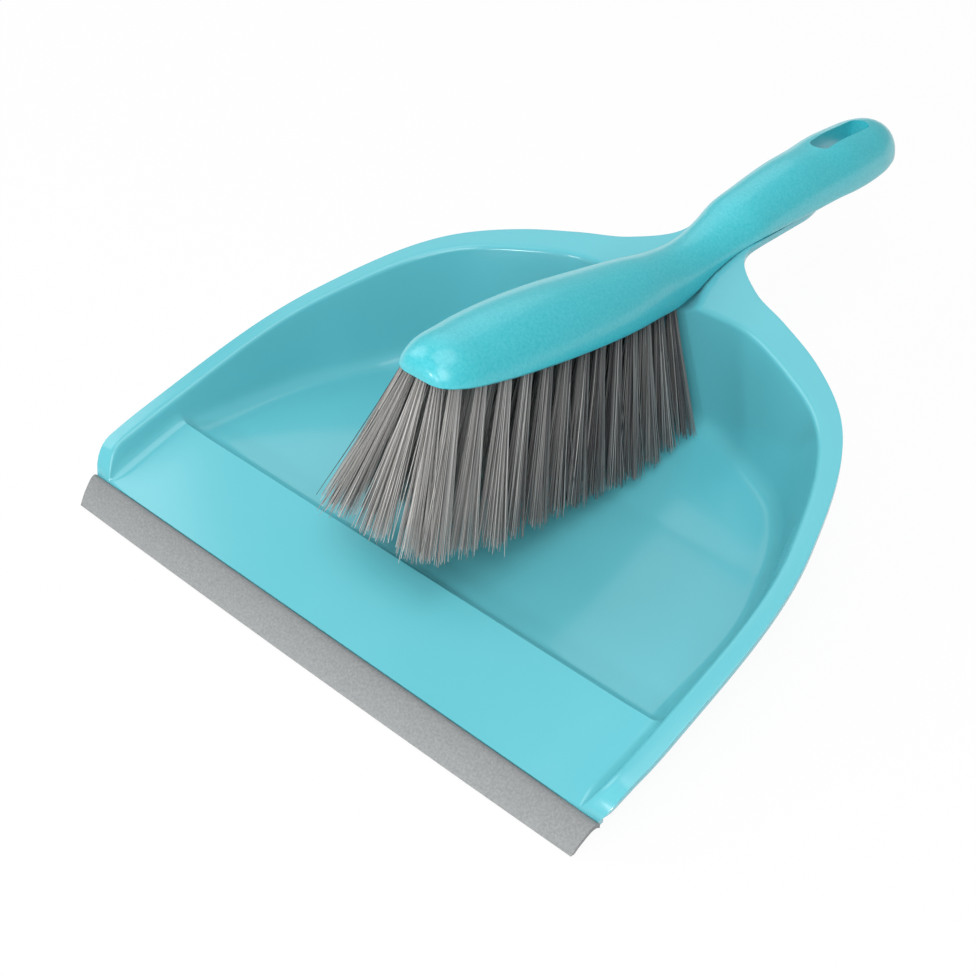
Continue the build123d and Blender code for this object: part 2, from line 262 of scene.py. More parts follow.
mouth_points = inset(rim_points, flange_widths)
front_mouth = (mouth_points[0][0], joint_y)
far_mouth = [(-x, y) for x, y in mouth_points[::-1]]
mouth_path = smooth_line([front_mouth, *mouth_points, (0, mouth_back_y), *far_mouth], path_points)
mouth_line = mouth_path[: np.argmax(mouth_path[:, 0] <= 0.0)]
front_corner = [(106.6, joint_y), (108.2, joint_y + 1.8), (109.4, joint_y + 5), (110.1, joint_y + 12)]
neck_line = [(neck_half, neck_y), (neck_half, neck_y + 9)]
outer_path = smooth_line([*front_corner, *rim_points, flare, *neck_line], path_points)
print("rim", round(outer_path[:, 0].max(), 1), "mm half width")

# %% [markdown]
# Stations are the places along the rim where a section is taken through rim, wall and floor.
# Near the lip they lie at even steps along the pan, so that the crease of the floor is straight.
# Further back they follow the curve of the rim.

# %% Pan stations
side_end_y = -70.0
side_step = 1.5
back_half = 24.0
curve_stations = 64
back_stations = 14

side_y = np.arange(joint_y, side_end_y, side_step)
flare_index = np.argmin(np.linalg.norm(outer_path - np.array(flare), axis=1))


def at_y(line, y):
    front = line[line[:, 1] < 0]
    return np.stack([np.interp(y, front[:, 1], front[:, 0]), y], axis=1)


def stretch(line, start, end, count):
    return even_line(line[start : end + 1], count)


mouth_start = np.argmax(mouth_line[:, 1] > side_end_y)
outer_start = np.argmax(outer_path[:, 1] > side_end_y)
mouth_corner = len(mouth_line) - 1 - np.argmax(mouth_line[::-1, 0] > back_half)
mouth_end = len(mouth_line) - 1
mouth = np.concatenate([
    at_y(mouth_line, side_y),
    stretch(mouth_line, mouth_start, mouth_corner, curve_stations),
    stretch(mouth_line, mouth_corner, mouth_end, back_stations)[1:],
])
mouth[-1] = (0.0, mouth_back_y)
outer = np.concatenate([
    at_y(outer_path, side_y),
    stretch(outer_path, outer_start, flare_index, curve_stations),
])
last_rim = len(outer) - 1
inward = inset(mouth, np.ones(len(mouth))) - mouth
inward[-1] = (0.0, -1.0)
print(len(mouth), "stations,", len(outer), "of them along the rim")

# %% [markdown]
# Three heights shape the skin: the rim with its rounded front end, the saddle that takes the neck of
# the brush, and the floor with its ramp, its small step and its gentle fall to the back.

# %% Pan heights
ridge_y = joint_y + 33.0
ridge_height = 13.0
step_y = ridge_y + 3.0
step_floor = 9.3
flat_y = -20.0
floor_top = 2.4
floor_places = [joint_y, ridge_y, step_y, flat_y]
floor_heights = [lip_height, ridge_height, step_floor, floor_top]
front_round = 11.0
front_power = 2.6
front_drop = rim_plane(joint_y) - lip_height
saddle_drop = 3.2
saddle_bottom_half, saddle_top_half = 6.4, 10.2
saddle_bottom_flare, saddle_top_flare = 4.0, 6.0
saddle_front = (30.0, 52.0)
saddle_back = (73.0, 82.0)


def saddle_dip(x, y):
    """How far the saddle lies below the plate, with soft sides that flare towards the bowl."""
    flared = 1 - fade(y, *saddle_front)
    wide = saddle_top_half + saddle_top_flare * flared
    narrow = saddle_bottom_half + saddle_bottom_flare * flared
    across = 1 - fade(abs(x), narrow, wide)
    return saddle_drop * across * (1 - fade(y, *saddle_back))


def skin_top(x, y):
    """Upper surface of rim, neck and handle."""
    rise = min(max((y - joint_y) / front_round, 0.0), 1.0)
    return plate_top(y) - front_drop * (1 - rise) ** front_power - saddle_dip(x, y)


def floor_z(y):
    return float(np.interp(y, floor_places, floor_heights))


print("saddle", round(skin_top(0, 50), 1), "mm high, rim beside it", round(skin_top(40, 44), 1))

# %% Pan skin
rim_rows = 6
edge_reach = 4.0
edge_reach_share = 0.55
wall_steps = 6
foot_reach = 14.0
floor_columns = 22
wall_draft = 8.0
back_draft = 5.6
top_radius = 3.0
foot_radius = 9.0
turn_y = -60.0


def draft_at(index):
    """How far the wall leans in at one station, more at the sides than at the back."""
    return back_draft + (wall_draft - back_draft) * abs(inward[index][0])


def wall_profile(index):
    """Section from the rim's inner edge down the wall to the floor, at one station."""
    x, y = mouth[index]
    top = skin_top(x, y)
    draft = draft_at(index)
    bottom = floor_z(y + inward[index][1] * draft)
    edge, foot = (draft * (1 - height / plate_top(y)) for height in (top, bottom))
    reach = edge_reach
    if index <= last_rim:
        reach = min(edge_reach, edge_reach_share * np.linalg.norm(outer[index] - mouth[index]))
    corners = [(-reach, top), (edge, top), (foot, bottom), (foot + foot_reach, bottom)]
    line = rounded(corners, [top_radius, foot_radius])
    upper, lower = line[: arc_steps + 2], line[arc_steps + 2 :]
    wall = [upper[-1].lerp(lower[0], step / wall_steps) for step in range(1, wall_steps)]
    points = []
    for depth, height in [*upper, *wall, *lower]:
        px, py = mouth[index] + inward[index] * depth
        share = min(max((top - height) / max(top - bottom, tiny), 0.0), 1.0)
        lift = (1 - share) * (skin_top(px, py) - top) + share * (floor_z(py) - bottom)
        points.append((max(px, 0.0), py, height + lift))
    return points


wall_rows = [wall_profile(index) for index in range(len(mouth))]
rim_sheet = []
for index in range(last_rim + 1):
    inner = np.array(wall_rows[index][0][:2])
    row = [outer[index] + (inner - outer[index]) * step / rim_rows for step in range(rim_rows + 1)]
    rim_sheet.append([(x, y, skin_top(x, y)) for x, y in row])

turn_index = np.argmin(abs(mouth[:, 1] - turn_y))
turn_floor = wall_rows[turn_index][-1][1]
last_floor = wall_rows[-1][-1][1]
floor_sheet = []
for index, row in enumerate(wall_rows):
    x, y, _ = row[-1]
    way_back = max(index - turn_index, 0) / (len(wall_rows) - 1 - turn_index)
    middle = y if index <= turn_index else turn_floor + (last_floor - turn_floor) * way_back
    line = [(x * (1 - t), y + (middle - y) * t) for t in np.linspace(0, 1, floor_columns)]
    floor_sheet.append([(px, py, floor_z(py)) for px, py in line])
print(len(wall_rows[0]), "points in each wall section")

# %% [markdown]
# The handle is a flat plate that narrows where it goes into the hollow handle of the brush.
# Its sheet starts at the back edge of the bowl and shares the last section of the rim.

# %% Pan handle sheet
taper_y = 109.0
taper_start_y = 103.0
taper_length = 27.0
round_y = plate_end_y - plate_end_half
straight_start_y = neck_y + 12
straight_step = 3.0
neck_stations, taper_stations, round_stations, blend_stations = 24, 14, 12, 8
edge_points = [tuple(p) for p in rim_sheet[last_rim][::-1]]
neck_points = [tuple(p) for p in stretch(outer_path, flare_index, len(outer_path) - 1, neck_stations)[1:]]
taper_points = [(neck_half, y) for y in np.arange(straight_start_y, taper_start_y, straight_step)]
for t in np.linspace(0, 1, taper_stations):
    half = neck_half + (plate_end_half - neck_half) * fade(t, 0, 1)
    taper_points.append((half, taper_start_y + taper_length * t))
for turn in np.linspace(0, math.pi / 2, round_stations):
    taper_points.append((plate_end_half * math.cos(turn), round_y + plate_end_half * math.sin(turn)))
border = [point[:2] for point in edge_points] + neck_points + taper_points

first_row = [row[0] for row in wall_rows[last_rim:]]
shares = [point[0] / first_row[0][0] for point in first_row]
handle_sheet = [first_row]
middle_start = first_row[-1][1]
for index, (x, y) in enumerate(border[1:], start=1):
    blend = min(index / (len(edge_points) + blend_stations), 1.0)
    middle = (middle_start + (y - middle_start) * blend) if blend < 1 else y
    row = [(x * share, middle + (y - middle) * share) for share in shares]
    handle_sheet.append([(px, py, skin_top(px, py)) for px, py in row])


def with_front_edge(rows):
    """Adds a row below the first one, so that the front edge turns down behind the lip."""
    return [[(x, y, z - pan_wall) for x, y, z in rows[0]], *rows]


sheets = [
    loft_sheet("rim_sheet", with_front_edge(rim_sheet)),
    loft_sheet("wall_sheet", with_front_edge(wall_rows)),
    loft_sheet("floor_sheet", with_front_edge(floor_sheet)),
    loft_sheet("handle_sheet", handle_sheet),
]
pan = join_pieces("pan_shell", sheets)
weld(pan)
print(count_faces(pan))

# %% Pan thickness
sharp_degrees = 62
edge_round = 0.7
crisp_depth = 0.6
pan_smooth_degrees = 40


def face_up(piece):
    """Turns an open sheet so that most of it looks up."""
    total = sum(face.normal.z * face.area for face in piece.data.polygons)
    if total < 0:
        pick(piece)
        bpy.ops.object.mode_set(mode="EDIT")
        bpy.ops.mesh.select_all(action="SELECT")
        bpy.ops.mesh.flip_normals()
        bpy.ops.object.mode_set(mode="OBJECT")


def round_edges(piece, width, front_y):
    """Bevels the sharp edges behind a line, so that the joint with the lip stays crisp."""
    pick(piece)
    bpy.ops.object.mode_set(mode="EDIT")
    bpy.ops.mesh.select_mode(type="EDGE")
    bpy.ops.mesh.select_all(action="DESELECT")
    bpy.ops.mesh.edges_select_sharp(sharpness=math.radians(sharp_degrees))
    bpy.ops.object.mode_set(mode="OBJECT")
    mesh = piece.data
    for edge in mesh.edges:
        ends = [mesh.vertices[index].co.y for index in edge.vertices]
        edge.select = edge.select and min(ends) > front_y * MM
    bpy.ops.object.mode_set(mode="EDIT")
    bpy.ops.mesh.bevel(offset=width * MM, segments=3, affect="EDGES", clamp_overlap=True)
    bpy.ops.object.mode_set(mode="OBJECT")


def thicken(piece, wall):
    """Mirrors half a skin and gives it its wall below and outside."""
    face_up(piece)
    modify(piece, "MIRROR", use_clip=True, merge_threshold=merge_distance * MM)
    face_up(piece)
    modify(piece, "SOLIDIFY", thickness=wall * MM, offset=-1)


thicken(pan, pan_wall)
round_edges(pan, edge_round, joint_y + crisp_depth)
smooth_shade(pan, pan_smooth_degrees)
print(count_faces(pan))

# %% [markdown]
# Below the ramp the side walls run on down towards the ground and hide the hollow under it.
# Further back these skirts rise again and end in the wall of the bowl.

# %% Pan skirts
skirt_inset = 0.15
skirt_foot = 1.0
skirt_lift = 7.0
skirt_fade_y = -75.0
skirt_rise_share = 0.6
skirt_overlap = 0.4
skirt_rows = 6


def skirt_row(index):
    """The wall line of one station, from inside the wall down to its foot, which rises at the back."""
    x, y = mouth[index]
    rise = min(foot_radius, skirt_rise_share * (skin_top(x, y) - floor_z(y)))
    top = floor_z(y) + rise - skirt_overlap
    foot = skirt_foot + skirt_lift * fade(y, skirt_fade_y, flat_y)
    line = []
    for height in np.linspace(top, foot, skirt_rows):
        depth = draft_at(index) * (1 - height / plate_top(y)) - skirt_inset
        px, py = mouth[index] + inward[index] * depth
        line.append((px, py, height))
    return line


skirt = loft_sheet("skirt", [skirt_row(index) for index in range(len(mouth)) if mouth[index][1] < flat_y])
thicken(skirt, pan_wall - 2 * skirt_inset)
pan = join_pieces("pan_shell", [pan, skirt])
print(count_faces(pan))

# %% [markdown]
# Two small things complete the pan: the post that finds the slot of the brush, and the rib that
# stiffens the handle from below. The post is a cube with its edges bevelled, and the rib is a narrow
# strip folded round from a grid.

# %% Post and rib
def rounded_box(name, low, high, bevel):
    """A box between two corners with rounded edges."""
    clear_selection()
    low, high = Vector(low) * MM, Vector(high) * MM
    bpy.ops.mesh.primitive_cube_add(size=1, location=(low + high) / 2)
    piece = bpy.context.object
    piece.name = name
    piece.scale = high - low
    bpy.ops.object.transform_apply(location=True, rotation=True, scale=True)
    bpy.ops.object.mode_set(mode="EDIT")
    bpy.ops.mesh.select_all(action="SELECT")
    bpy.ops.mesh.bevel(offset=bevel * MM, segments=3, affect="EDGES")
    bpy.ops.object.mode_set(mode="OBJECT")
    return piece


post_y = 135.0
post_half_x, post_half_y = 2.3, 4.5
post_root = 1.2
post_height = 8.9
post_bevel = 1.2
post_low = (-post_half_x, post_y - post_half_y, seat_z(post_y) - post_root)
post_high = (post_half_x, post_y + post_half_y, seat_z(post_y) + post_height)
post = rounded_box("post", post_low, post_high, post_bevel)

rib_ends = (81.0, taper_y)
rib_half = 1.2
rib_top = 1.4
rib_foot = 6.6
rib_section = [(1, rib_top), (1, rib_foot), (-1, rib_foot), (-1, rib_top), (1, rib_top)]
rib = loft_sheet("rib", [
    [(side * rib_half, y, seat_z(y) - depth) for y in rib_ends] for side, depth in rib_section
])
pan = join_pieces("pan_shell", [pan, post, rib])
smooth_shade(pan, pan_smooth_degrees)
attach(pan, "pan")
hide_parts("dust_pan")
print(count_faces(pan))

# %% [markdown]
# The lip is a strip of soft grey rubber that grips the front edge of the pan and touches the ground.
# One section, a bent nose over a flat sole, is laid along the front. Its ends slant in a little.

# %% Rubber lip
lip_half = lip_high.x / MM
lip_front_half = 105.2
lip_bow = 0.7
flap_half = 99.5
flap_thickness = 1.6
flap_step = 0.01
lip_merge = 0.004
lip_smooth_degrees = 50
nose_stations, inner_stations, flap_stations = 17, 61, 5
nose_points = [
    (lip_front_y, 0.0),
    (lip_front_y + 3.6, 4.0),
    (joint_y - 0.5, lip_height - 0.05),
    (joint_y, lip_height - 0.5),
]
nose = smooth_line(nose_points, nose_stations)


def lip_section(x):
    """Closed section of the lip: over the nose, down the back and forward along the sole."""
    flap = abs(x) > flap_half
    sole = [(y, max(z - flap_thickness, 0.0) if flap else 0.0) for y, z in nose[::-1]]
    row = []
    for y, z in [*nose, *sole, nose[0]]:
        depth = (joint_y - y) / (joint_y - lip_front_y)
        half = lip_half + (lip_front_half - lip_half) * depth
        across = x / lip_half
        row.append((across * half, y + lip_bow * across**2 * depth, z))
    return row


inner_places = np.linspace(-flap_half, flap_half, inner_stations)
flap_places = np.linspace(flap_half + flap_step, lip_half, flap_stations)
lip_places = [*(-flap_places[::-1]), *inner_places, *flap_places]
lip = loft_sheet("lip_strip", [lip_section(x) for x in lip_places])
pick(lip)
bpy.ops.object.mode_set(mode="EDIT")
bpy.ops.mesh.select_all(action="SELECT")
bpy.ops.mesh.remove_doubles(threshold=lip_merge * MM)
bpy.ops.mesh.select_all(action="DESELECT")
bpy.ops.mesh.select_non_manifold()
bpy.ops.mesh.edge_face_add()
bpy.ops.mesh.select_all(action="SELECT")
bpy.ops.mesh.normals_make_consistent(inside=False)
bpy.ops.object.mode_set(mode="OBJECT")
smooth_shade(lip, lip_smooth_degrees)
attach(lip, "pan")
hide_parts("rubber_lip")
print(count_faces(lip))

# %% [markdown]
# The brush body is one moulding: a block for the bristles, a slim neck and a full, hollow handle.
# Sections across it, each with a flat sole, clean lower edges and an arched back, are set along it.
# Each one gives its place along the brush, its half width, the height of its sole and its thickness.
# A smooth curve through these sizes gives the many rings of the finished skin.

# %% Brush sections
rest_gap = 0.3
tip_y = -86.0
block_rear_y = 30.0
block_slope = 0.235
block_height = 66.7
block_height_y = -55.8
block_half = 17.2
block_thick = 16.0
handle_half = 14.2
handle_thick = 15.2
end_half = 15.0
end_thick = 17.0
droop_y = 124.0
handle_end_y = 175.4


def block_z(y):
    return block_height - block_slope * (y - block_height_y)


def handle_z(y):
    return seat_z(y) + rest_gap


def end_z(drop):
    return handle_z(droop_y) - drop


brush_sections = [
    (tip_y + 1.5, 0.30 * block_half, block_z(tip_y + 1.5), 0.10 * block_thick),
    (tip_y + 2.1, 0.43 * block_half, block_z(tip_y + 2.1), 0.22 * block_thick),
    (tip_y + 4, 0.58 * block_half, block_z(tip_y + 4), 0.40 * block_thick),
    (tip_y + 9, 0.745 * block_half, block_z(tip_y + 9), 0.60 * block_thick),
    (tip_y + 22, 0.90 * block_half, block_z(tip_y + 22), 0.775 * block_thick),
    (tip_y + 42, 0.99 * block_half, block_z(tip_y + 42), 0.94 * block_thick),
    (tip_y + 60, block_half, block_z(tip_y + 60), block_thick),
    (tip_y + 85, 0.93 * block_half, block_z(tip_y + 85), block_thick),
    (tip_y + 102, 0.80 * block_half, block_z(tip_y + 102), block_thick),
    (block_rear_y, 11.6, block_z(block_rear_y), 0.97 * block_thick),
    (block_rear_y + 10, 10.7, block_z(block_rear_y), 0.84 * block_thick),
    (53, 10.1, rim_plane(53) + 0.15, 10.0),
    (66, 11.0, handle_z(66) - 1.6, 9.3),
    (76, 0.89 * handle_half, handle_z(76), 0.70 * handle_thick),
    (88, 0.92 * handle_half, handle_z(88), 0.84 * handle_thick),
    (taper_y, 0.99 * handle_half, handle_z(taper_y), handle_thick),
    (droop_y, 0.97 * end_half, end_z(0), 0.915 * end_thick),
    (droop_y + 14, end_half, end_z(1.6), end_thick),
    (droop_y + 26, 0.99 * end_half, end_z(2.4), 0.965 * end_thick),
    (handle_end_y - 15, 0.93 * end_half, end_z(2.6), 0.895 * end_thick),
    (handle_end_y - 7, 0.78 * end_half, end_z(2.4), 0.755 * end_thick),
    (handle_end_y - 2.4, 0.57 * end_half, end_z(1.6), 0.545 * end_thick),
    (handle_end_y - 0.5, 0.34 * end_half, end_z(0.3), 0.31 * end_thick),
    (handle_end_y, 0.14 * end_half, end_z(-1.0), 0.10 * end_thick),
]
print(len(brush_sections), "sections from tip to end")

# %% Brush skin
brush_rings = 170
ring_points = 64
arch_points = 33
sole_points = 8
side_share = 0.06
sole_inset_share = 0.03
roundness = 0.4


def brush_ring(y, half, bottom, thick):
    """One closed ring: an arched back, clean lower edges and a flat sole."""
    side = side_share * thick
    rise = thick - side
    radius = (half**2 + rise**2) / (2 * rise)
    low = math.atan2(side - (thick - radius), half)
    arch = []
    for t in np.linspace(0, 1, arch_points):
        turn = low + (math.pi - 2 * low) * t
        arc = Vector((radius * math.cos(turn), thick - radius + radius * math.sin(turn)))
        oval = Vector((half * math.cos(math.pi * t), side + rise * math.sin(math.pi * t)))
        arch.append(arc.lerp(oval, roundness))
    lower_edge = (half * (1 - sole_inset_share), 0)
    half_arch = [tuple(point) for point in arch[1 : arch_points // 2 + 1]]
    back = [lower_edge, (half, side), *half_arch]
    sole = even_line([(0, 0), lower_edge], sole_points + 1)
    ring = np.vstack([sole[:-1], even_line(back, ring_points // 2 + 1 - sole_points)])
    ring[-1, 0] = 0.0
    left = [(-x, z) for x, z in ring[-2:0:-1]]
    return [(x, y, bottom + z) for x, z in [*ring, *left, ring[0]]]


def brush_rows(sections, count):
    """Rings along the brush, with a point at each end that closes the skin."""
    sizes = smooth_line(sections, count)
    rows = [brush_ring(*size) for size in sizes]
    ends = [np.mean(rows[0][:-1], axis=0), np.mean(rows[-1][:-1], axis=0)]
    return [[ends[0]] * len(rows[0]), *rows, [ends[1]] * len(rows[0])]


brush = loft_sheet("brush_body", brush_rows(brush_sections, brush_rings))
weld(brush)
print(count_faces(brush))

# %% [markdown]
# The handle is hollow and open below, so that it can sit over the handle of the pan.
# A collar hangs from its back round the hanging slot. Boolean modifiers cut these with solids that
# are lofted and extruded like the rest.

# %% Brush hollow and slot
brush_wall = 2.6
slot_y = 143.5
slot_half_length = 17.5
slot_half_width = 4.0
slot_vertices = 48
slot_sink = 1.0
slot_top = handle_z(slot_y) + end_thick - slot_sink
slot_cut = (10.0, 100.0)
collar_depth = 13.5
collar_cut = (slot_top - collar_depth, slot_top + 30.0)
hollow_rings = 60
hollow_start_y = 80.0
hollow_end_y = handle_end_y - 5.0
brush_smooth_degrees = 38


def slot_solid(name, grow, bottom, top):
    """An upright solid with round ends, from a circle pulled apart along the handle and extruded."""
    clear_selection()
    radius = slot_half_width + grow
    bpy.ops.mesh.primitive_circle_add(vertices=slot_vertices, radius=radius * MM, fill_type="NGON")
    piece = bpy.context.object
    piece.name = name
    pull = slot_half_length - slot_half_width
    for vertex in piece.data.vertices:
        side = 1 if vertex.co.y >= 0 else -1
        vertex.co.y += (side * pull + slot_y) * MM
        vertex.co.z = bottom * MM
    bpy.ops.object.mode_set(mode="EDIT")
    bpy.ops.mesh.select_all(action="SELECT")
    bpy.ops.mesh.extrude_region_move(TRANSFORM_OT_translate={"value": (0, 0, (top - bottom) * MM)})
    bpy.ops.mesh.select_all(action="SELECT")
    bpy.ops.mesh.normals_make_consistent(inside=False)
    bpy.ops.object.mode_set(mode="OBJECT")
    return piece


def cut(piece, tool):
    modify(piece, "BOOLEAN", object=tool, operation="DIFFERENCE", solver="EXACT")
    bpy.data.objects.remove(tool)


hollow_sizes = [
    (y, half - brush_wall, bottom - brush_wall, thick)
    for y, half, bottom, thick in brush_sections
    if hollow_start_y < y < hollow_end_y
]
hollow = loft_sheet("hollow", brush_rows(hollow_sizes, hollow_rings))
weld(hollow)
cut(hollow, slot_solid("collar", brush_wall, *collar_cut))
cut(brush, hollow)
cut(brush, slot_solid("slot", 0.0, *slot_cut))
weld(brush)
smooth_shade(brush, brush_smooth_degrees)
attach(brush, "brush")
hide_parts("brush_body")
print(count_faces(brush))

# %% [markdown]
# The brush has 53 tufts in four rows, with three round the tip. Each is a bundle of grey filaments.
# A filament is a short curve with a thin four-sided bevel. Curves are quick to lay, and turned into
# a mesh they still have few faces.

# %% Tuft places
tuft_pairs = 13
tuft_margin = 3.2
first_y = tip_y + 8.0
last_y = block_rear_y - 2.4
tuft_pitch = (last_y - first_y) / (tuft_pairs - 1)
inner_half = 4.1
inner_share = 0.385
nose_tuft_y = tip_y + 3.7
nose_pair_y = tip_y + 4.5
nose_pair_half = 5.2


def block_half_at(y):
    lengths = [section[0] for section in brush_sections]
    halves = [section[1] for section in brush_sections]
    return float(np.interp(y, lengths, halves))


tuft_places = []
for index in range(tuft_pairs):
    y = first_y + index * tuft_pitch
    for side in (-1, 1):
        tuft_places.append((side * (block_half_at(y) - tuft_margin), y))
for index in range(tuft_pairs - 1):
    y = first_y + (index + 0.5) * tuft_pitch
    across = min(inner_half, inner_share * (block_half_at(y) - tuft_margin))
    for side in (-1, 1):
        tuft_places.append((side * across, y))
tuft_places.append((0, nose_tuft_y))
for side in (-1, 1):
    tuft_places.append((side * nose_pair_half, nose_pair_y))
print(len(tuft_places), "tufts")

# %% Filaments
filaments = 110
filament_radius = 0.16
filament_stops = (0.0, 0.3, 0.65, 1.0)
tip_radius_share = 0.55
root_radius = 1.8
root_depth = 0.5
full_length = 49.5
length_scatter = 1.1
tip_clearance = 3.6
floor_clearance = 0.5
tip_half = 24.5
tip_front_half = 20.5
tip_widening = 18.0
rear_narrowing = 1.2
splay_along = 0.0026
splay_centre_y = 12.0
spread_across, scatter_across = 0.9, 0.6
spread_along, scatter_along = 2.8, 0.8
spread_power = 1.5
stray_share = 0.03
stray_scatter = 2.6
across_brush = Vector((1, 0, 0))
block_up = Vector((0, block_slope, 1)).normalized()
block_back = Vector((0, 1, -block_slope)).normalized()
draw = random.Random(53)


def tuft_length(y):
    return min(full_length, block_z(y) - tip_clearance)


def splay_across(y):
    """Lean per millimetre from the middle, so that the outer tips make an even side."""
    share = min(max((y - first_y) / tip_widening, 0), 1)
    spread_half = tip_front_half + share * (tip_half - tip_front_half)
    spread_half -= rear_narrowing * fade(y, 0.0, last_y)
    return (spread_half / (block_half_at(y) - tuft_margin) - 1) / tuft_length(y)


def filament_points(place):
    """The line of one filament, from inside its hole to its tip."""
    spin, out = draw.uniform(0, 2 * math.pi), math.sqrt(draw.random())
    dx, dy = out * math.cos(spin), out * math.sin(spin)
    foot = Vector((place[0], place[1], block_z(place[1])))
    foot += across_brush * dx * root_radius + block_back * dy * root_radius
    length = tuft_length(place[1]) - abs(draw.gauss(0, length_scatter))
    along = (foot.y - splay_centre_y) / block_back.y
    lean = across_brush * splay_across(place[1]) * foot.x + block_back * splay_along * along
    stray = stray_scatter if draw.random() < stray_share else 1.0
    spread = across_brush * (dx * spread_across + stray * draw.gauss(0, scatter_across))
    spread += block_back * (dy * spread_along + stray * draw.gauss(0, scatter_along))
    points = [foot + block_up * root_depth]
    for t in filament_stops:
        point = foot + (lean - block_up) * length * t + spread * t**spread_power
        point.z = max(point.z, floor_z(point.y) + floor_clearance)
        points.append(point)
    return points


def bundle(name, place):
    """A tuft as one curve object with a spline for each filament, turned into a mesh."""
    curve = bpy.data.curves.new(name, "CURVE")
    curve.dimensions = "3D"
    curve.bevel_depth = filament_radius * MM
    curve.bevel_resolution = 0
    curve.use_fill_caps = False
    for _ in range(filaments):
        points = filament_points(place)
        spline = curve.splines.new("POLY")
        spline.points.add(len(points) - 1)
        for knot, point in zip(spline.points, points):
            knot.co = (*(point * MM), 1)
        spline.points[-1].radius = tip_radius_share
    piece = bpy.data.objects.new(name, curve)
    bpy.context.scene.collection.objects.link(piece)
    pick(piece)
    bpy.ops.object.convert(target="MESH")
    return bpy.context.object


# %% [markdown]
# Most filaments are dark grey and some are pale.
# Towards the tip of the brush more of them are pale: this is painted light, for the brighter front of the
# tufts.
# Two attributes carry this to the material: a shade for each filament, and the share of its length.

# %% Filament shades
shade_spread = (1.3, 4.2)
# Painted light: how much paler the filaments at the tip are made, and over what length this fades.
tip_painted_light = 0.55
tip_painted_light_reach = 60.0


# A random shade, raised by painted light on tufts near the tip of the brush.
def filament_shade(painted_light_share):
    return min(draw.betavariate(*shade_spread) + painted_light_share * draw.random(), 1.0)


def mark_filaments(piece, painted_light_share):
    """Stores each filament's shade, with painted light near the tip, and each vertex's share of the
    length.
    """
    mesh = piece.data
    count = len(mesh.vertices)
    per_strand = count // filaments
    ring = per_strand // (len(filament_stops) + 1)
    shades = [filament_shade(painted_light_share) for _ in range(filaments)]
    shade_and_painted_light = mesh.attributes.new("shade_and_painted_light", "FLOAT", "POINT")
    along = mesh.attributes.new("along", "FLOAT", "POINT")
    shade_and_painted_light.data.foreach_set("value", [shades[i // per_strand] for i in range(count)])
    along.data.foreach_set("value", [(i % per_strand) // ring / len(filament_stops) for i in range(count)])


tufts = []
for number, place in enumerate(tuft_places, start=1):
    tuft = bundle(f"bristles_{number:02d}", place)
    # Tufts near the tip get paler filaments: painted light for the brighter front of the brush.
    mark_filaments(tuft, tip_painted_light * (1 - fade(place[1], tip_y, tip_y + tip_painted_light_reach)))
    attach(tuft, "brush")
    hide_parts(f"tuft_{number:02d}")
    tufts.append(tuft)
print(len(tufts), "tufts,", len(tufts[0].data.polygons), "faces each")

# %% [markdown]
# Finishes come last. Moulded plastic is never quite even: it has a faint drift of tone and a fine
# grain. Both come from one node group, which plastic, rubber and wire use with their own values.

# %% Moulding marks
def new_material(name):
    material = bpy.data.materials.new(name)
    material.use_nodes = True
    tree = material.node_tree
    return material, tree.nodes, tree.links, tree.nodes["Principled BSDF"]


marks = bpy.data.node_groups.new("moulding_marks", "ShaderNodeTree")
for socket, default in (("Drift Scale", 12.0), ("Grain Scale", 900.0)):
    entry = marks.interface.new_socket(socket, in_out="INPUT", socket_type="NodeSocketFloat")
    entry.default_value = default
for socket in ("Drift", "Grain"):
    marks.interface.new_socket(socket, in_out="OUTPUT", socket_type="NodeSocketFloat")
group_in = marks.nodes.new("NodeGroupInput")
group_out = marks.nodes.new("NodeGroupOutput")
mark_place = marks.nodes.new("ShaderNodeTexCoord")
for label in ("Drift", "Grain"):
    noise = marks.nodes.new("ShaderNodeTexNoise")
    noise.inputs["Detail"].default_value = 4.0
    marks.links.new(mark_place.outputs["Object"], noise.inputs["Vector"])
    marks.links.new(group_in.outputs[f"{label} Scale"], noise.inputs["Scale"])
    marks.links.new(noise.outputs["Fac"], group_out.inputs[label])


def add_marks(nodes, drift, grain):
    node = nodes.new("ShaderNodeGroup")
    node.node_tree = marks
    node.inputs["Drift Scale"].default_value = drift
    node.inputs["Grain Scale"].default_value = grain
    return node


def ramp(nodes, links, source, dark, light, low=0.3, high=0.7):
    node = nodes.new("ShaderNodeValToRGB")
    node.color_ramp.elements[0].position = low
    node.color_ramp.elements[1].position = high
    node.color_ramp.elements[0].color = (*dark, 1)
    node.color_ramp.elements[1].color = (*light, 1)
    links.new(source, node.inputs["Fac"])
    return node


def level(nodes, links, source, low, high):
    node = nodes.new("ShaderNodeMapRange")
    node.inputs["To Min"].default_value = low
    node.inputs["To Max"].default_value = high
    links.new(source, node.inputs["Value"])
    return node


def bump(nodes, links, shader, source, strength, depth):
    node = nodes.new("ShaderNodeBump")
    node.inputs["Strength"].default_value = strength
    node.inputs["Distance"].default_value = depth * MM
    links.new(source, node.inputs["Height"])
    links.new(node.outputs["Normal"], shader.inputs["Normal"])


print("node group", marks.name)

# %% [markdown]
# Both mouldings are turquoise. The pan is smooth and glossy with a slow drift of tone. The brush has a
# fine grain that speckles its colour and breaks up its gloss, under a thin clear coat that adds to the
# highlights at its nose.

# %% Plastics
plastic_drift = 14.0


